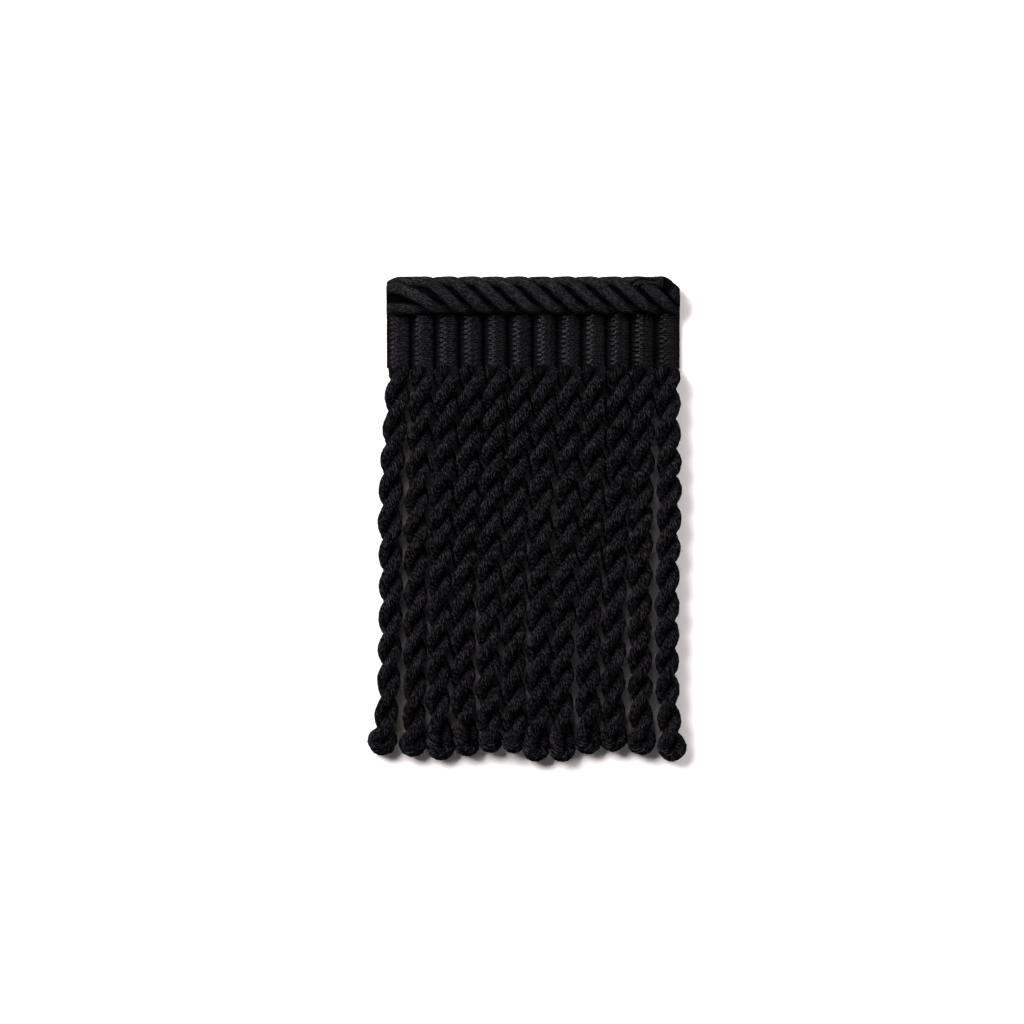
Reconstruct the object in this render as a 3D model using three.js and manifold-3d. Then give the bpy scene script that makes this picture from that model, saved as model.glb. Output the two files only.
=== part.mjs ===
// Bullion fringe: a cut length of trimming, lying face up on its flat back.
// Units are millimetres. +X runs along the trimming, +Y points to its corded top edge and +Z out of its face.
// The origin is the centre of the heading's flat back.
import * as THREE from "three";
import { mergeVertices } from "three/addons/utils/BufferGeometryUtils.js";
import Module from "manifold-3d";

// Heading band: one rib for each bullion
const RIB_COUNT = 12;
const RIB_PITCH = 7.65;
const HEADING_LENGTH = RIB_COUNT * RIB_PITCH;
const HEADING_HEIGHT = 16.9;

// Rise of a rib's face across its pitch: high on the left and sloping away to the right
const RIB_PROFILE = [
  { across: 0.0, rise: 1.3 },
  { across: 0.06, rise: 1.7 },
  { across: 0.12, rise: 2.8 },
  { across: 0.19, rise: 3.8 },
  { across: 0.28, rise: 4.3 },
  { across: 0.38, rise: 4.0 },
  { across: 0.5, rise: 3.5 },
  { across: 0.66, rise: 3.2 },
  { across: 0.77, rise: 2.7 },
  { across: 0.86, rise: 1.8 },
  { across: 0.94, rise: 1.35 },
];

// Bullion cord: half sizes of its four-sided section, outwards from the twist and sideways
const ROOT_SECTION = { outward: 1.7, sideways: 1.75 };
const TWIST_SECTION = { outward: 1.72, sideways: 2.4 };
const LOOP_SECTION = { outward: 1.85, sideways: 1.9 };
const TWIST_RADIUS = 1.92;

// Bullion run: how far the roots reach into the heading, and how finely the run is drawn
const ROOT_REACH = 1.6;
const ROOT_RISE = 2.05;
const STEPS_PER_QUARTER_TURN = 2;
const FOOT_STEPS = 3;
const LOOP_STEPS = 6;

// Depths below the heading at which each bullion's sideways place is given
const UPPER_DEPTH = 41.3;
const MIDDLE_DEPTH = 72.5;
const LOWER_DEPTH = 103.8;

// One row for each bullion, left to right: the sideways place of its axis at the three depths and at the
// loop, its drop below the heading, the depth where its plies first cross, the length of a half turn of its
// twist and how many there are, the loop's turn from flat in degrees and its radius
const BULLIONS = [
  {
    upper: -44.7, middle: -44.9, lower: -45.8, loop: -47.2, drop: 121.5,
    firstCrossing: 3.5, halfTurn: 9.93, halfTurns: 11, loopTurn: 0, loopRadius: 2.45,
  },
  {
    upper: -36.7, middle: -37, lower: -37.3, loop: -37.7, drop: 122,
    firstCrossing: 7.3, halfTurn: 9.7, halfTurns: 11, loopTurn: -12, loopRadius: 2.34,
  },
  {
    upper: -29, middle: -29.6, lower: -29.8, loop: -29.1, drop: 123,
    firstCrossing: 7.6, halfTurn: 9.29, halfTurns: 11, loopTurn: -12, loopRadius: 2.34,
  },
  {
    upper: -21.3, middle: -22.1, lower: -22, loop: -20.8, drop: 121.7,
    firstCrossing: 7.8, halfTurn: 9.32, halfTurns: 11, loopTurn: -28, loopRadius: 2.14,
  },
  {
    upper: -13.5, middle: -14.1, lower: -14.1, loop: -13.4, drop: 120.6,
    firstCrossing: 5.4, halfTurn: 9.1, halfTurns: 12, loopTurn: -40, loopRadius: 2.14,
  },
  {
    upper: -5.8, middle: -6.3, lower: -6.5, loop: -6.1, drop: 120.6,
    firstCrossing: 6.6, halfTurn: 9, halfTurns: 12, loopTurn: -40, loopRadius: 2.14,
  },
  {
    upper: 2.1, middle: 1.6, lower: 1.2, loop: 0.9, drop: 123.2,
    firstCrossing: 7.1, halfTurn: 9.62, halfTurns: 11, loopTurn: -18, loopRadius: 2.24,
  },
  {
    upper: 10.2, middle: 9.3, lower: 8.6, loop: 9.2, drop: 123.5,
    firstCrossing: 7.7, halfTurn: 9.39, halfTurns: 11, loopTurn: -22, loopRadius: 2.14,
  },
  {
    upper: 18, middle: 17.1, lower: 17, loop: 17, drop: 121.1,
    firstCrossing: 7.1, halfTurn: 9.4, halfTurns: 11, loopTurn: -18, loopRadius: 2.19,
  },
  {
    upper: 25.8, middle: 25, lower: 24.7, loop: 25.4, drop: 120.2,
    firstCrossing: 8.6, halfTurn: 9.4, halfTurns: 11, loopTurn: -10, loopRadius: 2.39,
  },
  {
    upper: 33.7, middle: 33.5, lower: 33.8, loop: 34.4, drop: 121.3,
    firstCrossing: 7.1, halfTurn: 8.84, halfTurns: 12, loopTurn: 0, loopRadius: 2.45,
  },
  {
    upper: 42.6, middle: 42.4, lower: 42.3, loop: 43.5, drop: 123.3,
    firstCrossing: 6.9, halfTurn: 8.95, halfTurns: 12, loopTurn: -8, loopRadius: 2.37,
  },
];

// Edge cord along the top of the heading
const SEWN_GAP = 0.3;
const CORD_HEIGHT = 11.5;
const CORD_RISE = 8.4;
const CORD_SQUARENESS = 3;
const CORD_PLIES = 4;
const CORD_STATIONS = 50;
const STATIONS_PER_TURN = 16;
const VALLEY_STATION = 12;
const SLACK_STATIONS = 9;
const SLACK_TWIST = 0.2;

// Reach of one ply's section across its share of the turn, as a part of the cord's radius
const PLY_PROFILE = [
  { across: 0.0, reach: 0.62 },
  { across: 0.25, reach: 0.89 },
  { across: 0.5, reach: 1.0 },
  { across: 0.75, reach: 0.89 },
];

// Size left at the cord's cut ends: the first stations from the left, and the last from the right
const LEFT_END_SIZES = [0.84, 0.95];
const RIGHT_END_SIZES = [0.64, 0.8, 0.95];

// Dyed yarn: bluish black cords and a warmer black woven heading share one material a piece
const FRINGE_MATERIAL = new THREE.MeshStandardMaterial({ color: 0x151419, roughness: 0.9, metalness: 0 });
const CORD_MATERIAL = new THREE.MeshStandardMaterial({ color: 0x131318, roughness: 0.85, metalness: 0 });

const wasm = await Module();
wasm.setup();

function toSolid(geometry) {
  const bare = geometry.clone();
  bare.deleteAttribute("normal");
  bare.deleteAttribute("uv");
  const merged = mergeVertices(bare);
  return new wasm.Manifold(new wasm.Mesh({
    numProp: 3,
    vertProperties: new Float32Array(merged.attributes.position.array),
    triVerts: new Uint32Array(merged.index.array),
  }));
}

function toGeometry(solid) {
  const mesh = solid.getMesh();
  const geometry = new THREE.BufferGeometry();
  geometry.setAttribute("position", new THREE.BufferAttribute(mesh.vertProperties, 3));
  geometry.setIndex(new THREE.BufferAttribute(mesh.triVerts, 1));
  geometry.computeVertexNormals();
  return geometry;
}

// A closed skin over rings of equal point counts, each ring running anticlockwise seen from its far side
function skinRings(rings) {
  const count = rings[0].length;
  const positions = rings.flat().flatMap((point) => point.toArray());
  const faces = [];
  for (let ring = 0; ring + 1 < rings.length; ring += 1) {
    for (let side = 0; side < count; side += 1) {
      const near = ring * count + side;
      const nearNext = ring * count + ((side + 1) % count);
      faces.push(near, nearNext, near + count);
      faces.push(nearNext, nearNext + count, near + count);
    }
  }
  const last = (rings.length - 1) * count;
  for (let side = 1; side + 1 < count; side += 1) {
    faces.push(0, side + 1, side);
    faces.push(last, last + side, last + side + 1);
  }
  const geometry = new THREE.BufferGeometry();
  geometry.setAttribute("position", new THREE.Float32BufferAttribute(positions, 3));
  geometry.setIndex(faces);
  return geometry;
}

// The woven band: its ribbed face is drawn end on and run down the heading's height
function headingGeometry() {
  const left = -HEADING_LENGTH / 2;
  const face = new THREE.Shape();
  face.moveTo(left, 0);
  face.lineTo(left + HEADING_LENGTH, 0);
  face.lineTo(left + HEADING_LENGTH, RIB_PROFILE[0].rise);
  for (let rib = RIB_COUNT - 1; rib >= 0; rib -= 1) {
    for (const { across, rise } of RIB_PROFILE.toReversed()) {
      face.lineTo(left + (rib + across) * RIB_PITCH, rise);
    }
  }
  face.closePath();
  const band = new THREE.ExtrudeGeometry(face, { depth: HEADING_HEIGHT, bevelEnabled: false });
  band.rotateX(Math.PI / 2);
  band.translate(0, HEADING_HEIGHT / 2, 0);
  return band;
}

function blendSection(from, to, share) {
  return {
    outward: THREE.MathUtils.lerp(from.outward, to.outward, share),
    sideways: THREE.MathUtils.lerp(from.sideways, to.sideways, share),
  };
}

// Stations down a bullion's twist: depth below the heading, turn, spread from the axis, section and axis height
function twistStations(row) {
  const quarter = Math.PI / 2;
  const lastCrossing = row.firstCrossing + row.halfTurns * row.halfTurn;
  const loopDepth = row.drop - row.loopRadius - LOOP_SECTION.outward;
  const restingRise = TWIST_RADIUS + TWIST_SECTION.outward;
  const root = { turn: 0, spread: TWIST_RADIUS, section: ROOT_SECTION, rise: ROOT_RISE };
  const stations = [{ ...root, depth: -ROOT_REACH }, { ...root, depth: 0 }];

  for (let step = 1; step <= STEPS_PER_QUARTER_TURN; step += 1) {
    const share = step / STEPS_PER_QUARTER_TURN;
    stations.push({
      depth: row.firstCrossing * share,
      turn: quarter * share,
      spread: TWIST_RADIUS,
      section: blendSection(ROOT_SECTION, TWIST_SECTION, share),
      rise: THREE.MathUtils.lerp(ROOT_RISE, restingRise, Math.sin(quarter * share)),
    });
  }

  const twistSteps = 2 * STEPS_PER_QUARTER_TURN * row.halfTurns;
  for (let step = 1; step <= twistSteps; step += 1) {
    const share = step / twistSteps;
    stations.push({
      depth: THREE.MathUtils.lerp(row.firstCrossing, lastCrossing, share),
      turn: quarter + Math.PI * row.halfTurns * share,
      spread: TWIST_RADIUS,
      section: TWIST_SECTION,
      rise: restingRise,
    });
  }

  const footTurn = quarter + THREE.MathUtils.degToRad(row.loopTurn);
  for (let step = 1; step <= FOOT_STEPS; step += 1) {
    const share = step / FOOT_STEPS;
    const turn = quarter + Math.PI * row.halfTurns + footTurn * share;
    const spread = THREE.MathUtils.lerp(TWIST_RADIUS, row.loopRadius, share);
    const section = blendSection(TWIST_SECTION, LOOP_SECTION, share);
    const lean = Math.abs(Math.sin(turn));
    const flat = Math.abs(Math.cos(turn));
    stations.push({
      depth: THREE.MathUtils.lerp(lastCrossing, loopDepth, share),
      turn,
      spread,
      section,
      rise: spread * lean + Math.max(section.outward * lean, section.sideways * flat),
    });
  }
  return stations;
}

// The path of one bullion's cord: down one side of the twist, round the loop and up the other side
function bullionPath(rib, row) {
  const rootX = (rib + 0.5) * RIB_PITCH - HEADING_LENGTH / 2;
  const stations = twistStations(row);
  const foot = stations.at(-1);
  const sway = new THREE.CubicInterpolant(
    [-ROOT_REACH, 0, UPPER_DEPTH, MIDDLE_DEPTH, LOWER_DEPTH, foot.depth],
    [rootX, rootX, row.upper, row.middle, row.lower, row.loop],
    1,
  );
  const axisPoint = ({ depth, rise }) =>
    new THREE.Vector3(sway.evaluate(depth)[0], -HEADING_HEIGHT / 2 - depth, rise);
  const plyPoint = (station, offset) => {
    const angle = station.turn + offset;
    const outward = new THREE.Vector3(Math.cos(angle), 0, Math.sin(angle));
    const place = axisPoint(station).addScaledVector(outward, station.spread);
    return { place, outward, section: station.section };
  };
  const down = stations.map((station) => plyPoint(station, 0));
  const up = stations.map((station) => plyPoint(station, Math.PI)).reverse();

  const loopSide = down.at(-1).outward;
  const loopDown = new THREE.Vector3(0, -1, 0);
  const loop = [];
  for (let step = 1; step < LOOP_STEPS; step += 1) {
    const angle = (Math.PI * step) / LOOP_STEPS;
    const outward = loopSide.clone().multiplyScalar(Math.cos(angle));
    outward.addScaledVector(loopDown, Math.sin(angle));
    const place = axisPoint(foot).addScaledVector(outward, row.loopRadius);
    loop.push({ place, outward, section: LOOP_SECTION });
  }
  return [...down, ...loop, ...up];
}

// A four-sided cord along a bullion's path, each ring resting no lower than the heading's back
function bullionGeometry(rib, row) {
  const path = bullionPath(rib, row);
  const rings = path.map(({ place, outward, section }, index) => {
    const before = path[Math.max(index - 1, 0)].place;
    const after = path[Math.min(index + 1, path.length - 1)].place;
    const along = after.clone().sub(before).normalize();
    const out = outward.clone().addScaledVector(along, -outward.dot(along)).normalize();
    const side = along.clone().cross(out);
    const ring = [
      place.clone().addScaledVector(out, section.outward),
      place.clone().addScaledVector(side, section.sideways),
      place.clone().addScaledVector(out, -section.outward),
      place.clone().addScaledVector(side, -section.sideways),
    ];
    const dip = Math.min(0, ...ring.map((point) => point.z));
    ring.forEach((point) => point.setZ(point.z - dip));
    return ring;
  });
  return skinRings(rings);
}

// Heading band with every bullion's roots fused into it
function fringeMesh() {
  let fringe = toSolid(headingGeometry());
  BULLIONS.forEach((row, rib) => {
    fringe = fringe.add(toSolid(bullionGeometry(rib, row)));
  });
  const mesh = new THREE.Mesh(toGeometry(fringe), FRINGE_MATERIAL);
  mesh.name = "fringe";
  return mesh;
}

// Twist reached at a station of the edge cord, slack towards the left end where the plies pull straight
function cordTwist(station) {
  const step = (2 * Math.PI) / STATIONS_PER_TURN;
  const missing = Math.max(SLACK_STATIONS - station, 0);
  const slack = ((1 - SLACK_TWIST) * missing * missing) / (2 * SLACK_STATIONS);
  return step * (station - VALLEY_STATION + slack);
}

function cordEndSize(station) {
  const fromRight = CORD_STATIONS - station;
  return LEFT_END_SIZES[station] ?? RIGHT_END_SIZES[fromRight] ?? 1;
}

// How far a rounded square reaches at an angle when its sides are at one
function squareReach(angle) {
  const across = Math.abs(Math.cos(angle)) ** CORD_SQUARENESS;
  const upright = Math.abs(Math.sin(angle)) ** CORD_SQUARENESS;
  return (across + upright) ** (-1 / CORD_SQUARENESS);
}

// Four plies twisted together, wound as the bullions are, each ply raised with a valley beside it
function edgeCordMesh() {
  const plyTurn = (2 * Math.PI) / CORD_PLIES;
  const rings = [];
  for (let station = 0; station <= CORD_STATIONS; station += 1) {
    const x = HEADING_LENGTH * (station / CORD_STATIONS - 0.5);
    const size = cordEndSize(station);
    const ring = [];
    for (let ply = 0; ply < CORD_PLIES; ply += 1) {
      for (const { across, reach } of PLY_PROFILE) {
        const angle = Math.PI / 2 + cordTwist(station) + (ply + across) * plyTurn;
        const square = squareReach(angle) * reach;
        const y = (size * CORD_HEIGHT * (1 + square * Math.cos(angle))) / 2;
        const z = (size * CORD_RISE * (1 + square * Math.sin(angle))) / 2;
        ring.push(new THREE.Vector3(x, y, z));
      }
    }
    rings.push(ring);
  }
  const mesh = new THREE.Mesh(skinRings(rings), CORD_MATERIAL);
  mesh.geometry.computeVertexNormals();
  mesh.position.y = HEADING_HEIGHT / 2 + SEWN_GAP;
  mesh.name = "edge_cord";
  return mesh;
}

const bullionFringe = new THREE.Group();
bullionFringe.add(fringeMesh(), edgeCordMesh());

export default bullionFringe;
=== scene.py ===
"""A cut length of black bullion fringe, lying face up: ribbed heading, corded top edge and twelve bullions.

Metres. +X runs along the trimming, +Y to its corded top edge, +Z out of its face.
"""

import math
from collections import namedtuple

import bmesh
import bpy
import numpy as np
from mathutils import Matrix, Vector


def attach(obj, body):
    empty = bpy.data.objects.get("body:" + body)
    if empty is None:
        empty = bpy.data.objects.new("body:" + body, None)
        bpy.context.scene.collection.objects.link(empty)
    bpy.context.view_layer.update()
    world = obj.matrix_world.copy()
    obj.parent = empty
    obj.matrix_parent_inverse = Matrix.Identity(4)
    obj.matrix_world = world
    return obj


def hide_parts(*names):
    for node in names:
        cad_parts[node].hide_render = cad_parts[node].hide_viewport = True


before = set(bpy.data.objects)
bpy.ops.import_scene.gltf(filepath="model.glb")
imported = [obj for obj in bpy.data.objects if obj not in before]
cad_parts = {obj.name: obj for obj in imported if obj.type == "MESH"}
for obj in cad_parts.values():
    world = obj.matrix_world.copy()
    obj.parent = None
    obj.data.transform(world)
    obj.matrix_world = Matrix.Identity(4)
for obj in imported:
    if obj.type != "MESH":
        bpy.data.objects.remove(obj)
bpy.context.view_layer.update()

MM = 0.001

# Heading band: one rib for each bullion
RIB_COUNT = 12
RIB_PITCH = 7.65 * MM
HEADING_LENGTH = RIB_COUNT * RIB_PITCH
HEADING_HEIGHT = 16.9 * MM
HEADING_TOP = HEADING_HEIGHT / 2

# Face of a rib across its pitch, as (share across, rise): a high left side that slopes away to the right
RIB_FACE = (
    (0.00, 1.3 * MM),
    (0.09, 1.35 * MM),
    (0.16, 1.8 * MM),
    (0.24, 3.4 * MM),
    (0.32, 4.3 * MM),
    (0.45, 4.05 * MM),
    (0.58, 3.7 * MM),
    (0.72, 3.3 * MM),
    (0.83, 2.75 * MM),
    (0.91, 1.9 * MM),
    (0.96, 1.4 * MM),
    (1.00, 1.3 * MM),
)

# Paleness of the binding yarns across a rib: real wear and a painted highlight on its high left side, which
# faces the light, with painted shade on its left flank, as (share across, paleness at the heading's left
# end, paleness at its right end)
RIB_WEAR_AND_LIGHT = (
    (0.00, 0.0, 0.0),
    (0.19, 0.06, 0.02),
    (0.26, 1.12, 0.36),
    (0.34, 1.25, 0.4),
    (0.42, 0.88, 0.28),
    (0.52, 0.18, 0.1),
    (0.85, 0.13, 0.1),
    (1.00, 0.06, 0.06),
)

# Binding yarns run along the heading, each over one rib and under the next
BINDING_COUNT = 44
BINDING_WIDTH = 0.56 * MM
BINDING_FLATNESS = 0.34
BINDING_PINCH = 0.52
BINDING_STEPS_PER_RIB = 18
ZIGZAG_SHARE = 0.07
CREST_SHARE = 0.32
CREST_WIDTH = 0.16
WEAVE_RISE = 0.06 * MM
WEAVES_PER_RIB = 4.5
BINDING_BACK = 0.28 * MM
BINDINGS_UNDER_CORD = 4
CORD_CLEARANCE = 0.25 * MM
RIB_SHARES_PINCHED = 0.09

# Unevenness of the binding yarns; the rates of its waves are in radians a rib
BINDING_WANDER = 0.05 * MM
SLOW_WANDER_RATE = 1.9
QUICK_WANDER_RATE = 7.3
ROW_SHIFT = 0.09
THICKNESS_WAVE = 0.16
THICKNESS_WAVE_RATE = 2.7
THICKNESS_SPREAD = 0.1
ROW_PALENESS = (0.8, 1.0)

# Bullion cord and the places where its twist starts and ends, measured down from the heading
PLY_RADIUS = 2.1 * MM
TWIST_RADIUS = 1.92 * MM
TOP_FULLNESS = 1.03
FOOT_FULLNESS = 0.97
FOOT_DEPTH = 110.0 * MM
LOOP_GIRTH = 1.3
HEADING_GIRTH = 0.6
HEADING_RISE = 1.45 * MM
HEADING_GIRTH_DEPTH = -1.5 * MM
FULL_GIRTH_DEPTH = 1.8 * MM
ROOT_TOP = -16.6 * MM
RIGHT_CORD_OFFSET = 1.1 * MM
LEFT_CORD_OFFSET = 1.35 * MM
LOOP_FREE_LENGTH = 2.0 * MM
RING_SPACING = 0.66 * MM
TWIST_POINTS = 1800
FOOT_POINTS = 120
LOOP_POINTS = 60
BULLION_YARNS = 11
BULLION_YARN_LEAD = 11.0 * MM
TURN_WOBBLE = 0.08
SPREAD_WOBBLE = 0.03
WOBBLE_LENGTH = 8.0 * MM
SECOND_WOBBLE_RATE = 1.7
SPREAD_WOBBLE_RATE = 1.3
EVEN_END_LENGTH = 15.0 * MM
# Paleness along a bullion: plain, paler on the loop as painted light, and darker for a few millimetres
# below the heading as painted shade
PLAIN_SHADE = 0.5
LOOP_SHADE = 0.87
TOP_SHADE = 0.25
TOP_SHADE_DEPTH = 6.0 * MM

# Depths below the heading at which each bullion's sideways place is given
UPPER_DEPTH = 41.3
MIDDLE_DEPTH = 72.5
LOWER_DEPTH = 103.8

Bullion = namedtuple(
    "Bullion",
    "upper middle lower loop drop first_crossing half_turn half_turns loop_turn loop_radius fullness",
)

# Bullions from left to right, in millimetres: the sideways place of the axis at the three depths and at
# the loop, the drop below the heading, the depth of the first crossing of the plies, the length of a half
# turn of twist and the number of half turns, the loop's turn from flat in degrees and its radius; the last
# number is the share of the full thickness
BULLIONS = (
    Bullion(-44.7, -44.6, -45.5, -47.2, 121.5, 3.8, 9.93, 11, 0, 2.16, 0.95),
    Bullion(-36.4, -36.8, -37.2, -37.6, 122.0, 7.3, 9.70, 11, -12, 2.05, 0.95),
    Bullion(-28.6, -29.4, -29.7, -29.1, 123.0, 6.8, 9.29, 11, -12, 2.05, 1.0),
    Bullion(-20.9, -21.8, -21.9, -20.8, 121.7, 7.0, 9.32, 11, -28, 1.85, 1.0),
    Bullion(-13.3, -13.9, -13.9, -13.4, 120.6, 5.4, 9.10, 12, -40, 1.85, 1.0),
    Bullion(-5.6, -6.1, -6.2, -6.1, 120.6, 6.9, 9.00, 12, -40, 1.85, 1.0),
    Bullion(2.4, 1.9, 1.5, 0.9, 123.2, 6.3, 9.62, 11, -18, 1.95, 1.0),
    Bullion(10.6, 9.6, 8.8, 9.2, 123.5, 7.1, 9.39, 11, -22, 1.85, 1.0),
    Bullion(18.4, 17.4, 17.1, 17.0, 121.1, 6.3, 9.40, 11, -18, 1.9, 1.0),
    Bullion(26.1, 25.3, 25.0, 25.2, 120.2, 8.9, 9.40, 11, -10, 2.1, 0.98),
    Bullion(33.8, 33.3, 33.6, 34.0, 121.3, 7.1, 8.84, 12, 0, 2.16, 0.98),
    Bullion(42.5, 42.0, 42.1, 43.4, 123.3, 6.9, 8.95, 12, -8, 2.08, 0.98),
)

# Edge cord: four plies twisted together along the top of the heading, pulled straight at the left end
CORD_FOOT = 8.25 * MM
CORD_HEIGHT = 12.0 * MM
CORD_RISE = 8.4 * MM
CORD_PLIES = 4
CORD_PLY_RADIUS = 2.0 * MM
# Aim of the painted shade on each ply of the cord: darker on the sides that turn into the grooves and under
# the cord
CORD_HOLLOW = -0.1 * MM
CORD_LIFT = 0.6
CORD_LEAN = 0.5
CORD_CORE_GIRTH = 1.65
CORE_RING_SPACING = 2.0 * MM
CORD_SQUARENESS = 4.0
CORD_STATIONS = 50
CORD_POINTS = 900
STATIONS_PER_TURN = 16
VALLEY_STATION = 12
SLACK_STATIONS = 10
SLACK_TWIST = 0.1
CORD_YARNS = 24
CORD_YARN_LEAD = 52.0 * MM
CORD_OVERRUN_STATIONS = 2.5
CORD_END_SHADE = 0.95
# Painted shade of the dark hollow at the cut end: the stations near the right end where it comes in, and
# the upper side of the plies where it lies
TIED_STATIONS = (47.0, 48.0)
UPPER_SIDE = (0.8, 0.95)

# Tie near the cord's right end: a few thin yarns along its top edge, the cut end of a ply that they lie on,
# painted black as shade in a hollow, and a wrapping round both
TIE_POINTS = 80
TIE_START = 29.8 * MM
TIE_END = 40.6 * MM
TIE_LOW = 17.2 * MM
TIE_HIGH = 18.7 * MM
TIE_LOW_RISE = 8.8 * MM
TIE_RISE = 11.5 * MM
TIE_CLIMB = 0.35
TIE_SPREAD = 0.55 * MM
TIE_FLARE = 1.2
TIE_YARNS = 3
TIE_GIRTH = 0.22
TIE_SHADE = 1.2
WRAP_POINTS = 200
WRAP_LENGTH = 2.3 * MM
WRAP_TURNS = 4
WRAP_MIDDLE = 18.1 * MM
WRAP_LEVEL = 10.4 * MM
WRAP_REACH = 1.7 * MM
WRAP_RISE = 2.1 * MM
WRAP_GIRTH = 0.15
CUT_PLY_POINTS = 40
CUT_PLY_START = 33.5 * MM
CUT_PLY_END = 43.0 * MM
CUT_PLY_MIDDLE = 18.3 * MM
CUT_PLY_FALL = 0.8
CUT_PLY_RISE = (9.4 * MM, 10.4 * MM)
CUT_PLY_GIRTH = 0.75

# Size left at the cord's cut ends, as (station, share of full size)
CORD_END_SIZES = ((0, 0.84), (1, 0.95), (2, 1.0), (47, 1.0), (48, 0.95), (49, 0.8), (50, 0.64))

# Camera straight above, as far off as a table top view; the frame is square
FRAME_WIDTH = 320.4 * MM
FRAME_CENTRE = (-6.63 * MM, -53.5 * MM)
FACE_LEVEL = 4.0 * MM
CAMERA_HEIGHT = 1.3
SENSOR_WIDTH = 36.0


class Wire:
    """An output of a node; sums on wires add Math nodes to the same tree."""

    def __init__(self, nodes, socket):
        self.nodes = nodes
        self.socket = socket

    def other(self, key):
        """Another output of the same node."""
        return Wire(self.nodes, find_socket(self.socket.node.outputs, key))

    def combine(self, operation, first, second=0.0):
        return self.nodes.add("ShaderNodeMath", {"operation": operation}, {0: first, 1: second})

    def __add__(self, value):
        return self.combine("ADD", self, value)

    def __radd__(self, value):
        return self.combine("ADD", value, self)

    def __sub__(self, value):
        return self.combine("SUBTRACT", self, value)

    def __rsub__(self, value):
        return self.combine("SUBTRACT", value, self)

    def __mul__(self, value):
        return self.combine("MULTIPLY", self, value)

    def __rmul__(self, value):
        return self.combine("MULTIPLY", value, self)

    def __truediv__(self, value):
        return self.combine("DIVIDE", self, value)

    def __mod__(self, value):
        return self.combine("FLOORED_MODULO", self, value)

    def floor(self):
        return self.combine("FLOOR", self)

    def sine(self):
        return self.combine("SINE", self)

    def cosine(self):
        return self.combine("COSINE", self)

    def at_least(self, value):
        return self.combine("MAXIMUM", self, value)


class Nodes:
    """The nodes of one tree."""

    def __init__(self, tree):
        self.tree = tree

    def add(self, kind, settings=None, sockets=None, out=0):
        """Adds a node: its settings first, then the values or wires of its sockets. Gives one output."""
        node = self.tree.nodes.new(kind)
        for name, value in (settings or {}).items():
            if name == "stops":
                fill_ramp(node.color_ramp, value)
            else:
                setattr(node, name, value)
        for key, value in (sockets or {}).items():
            socket = find_socket(node.inputs, key)
            for part in value if isinstance(value, list) else [value]:
                if isinstance(part, Wire):
                    self.tree.links.new(part.socket, socket)
                else:
                    socket.default_value = part
        if not node.outputs:
            return None
        return Wire(self, find_socket(node.outputs, out))


def find_socket(sockets, key):
    """A socket by its place, its identifier or its name."""
    for socket in sockets:
        if socket.identifier == key:
            return socket
    return sockets[key]


def fill_ramp(ramp, stops):
    while len(ramp.elements) < len(stops):
        ramp.elements.new(1.0)
    for element, (position, level) in zip(ramp.elements, stops):
        element.position = position
        element.color = (level, level, level, 1.0)


# Inputs of the tree that winds yarns round a line, with the kind of each
WOUND_INPUTS = {
    "Yarns": "NodeSocketInt",
    "Points per yarn": "NodeSocketInt",
    "Radius": "NodeSocketFloat",
    "Flatness": "NodeSocketFloat",
    "Groove depth": "NodeSocketFloat",
    "Yarn spread": "NodeSocketFloat",
    "Twist per metre": "NodeSocketFloat",
    "Unevenness": "NodeSocketFloat",
    "Height share": "NodeSocketFloat",
    "Fibres per square metre": "NodeSocketFloat",
    "Fibre length": "NodeSocketFloat",
    "Fibre radius": "NodeSocketFloat",
    "Seed": "NodeSocketInt",
    "Yarn finish": "NodeSocketMaterial",
}
LUMP_SCALE = 900.0
LUMP_DETAIL = 2.0
LUMP_SHIFT = 7.31
# A loose fibre one unit long, from its root inside the yarn to its tip, and how its size and tone vary
FIBRE_ROOT = (0.0, 0.0, -0.15)
FIBRE_BEND = (0.15, 0.0, 0.75)
FIBRE_TIP = (0.95, 0.2, 0.55)
FIBRE_STEPS = 4
FIBRE_SIDES = 3
FIBRE_LEAST = 0.4
FIBRE_MOST = 1.5
FIBRE_TONE = 0.8
FIBRE_SHADE = 0.4
FRAY = 60.0
FRAY_SHADE = 0.88
PRESS_GAP = -0.15 * MM
PRESS_REACH = 1.1 * MM
PRESS_STRETCH = 0.8
# Painted shade in the hollows between plies: where it is full and where it ends
HOLLOW_REACH = 0.2 * MM
UNSHADED_REACH = 2.0 * MM
# How far a shaded black line's core is set off, so that all of it lies in painted shade
FULL_SHADE_COVER = 10.0 * MM


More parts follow.
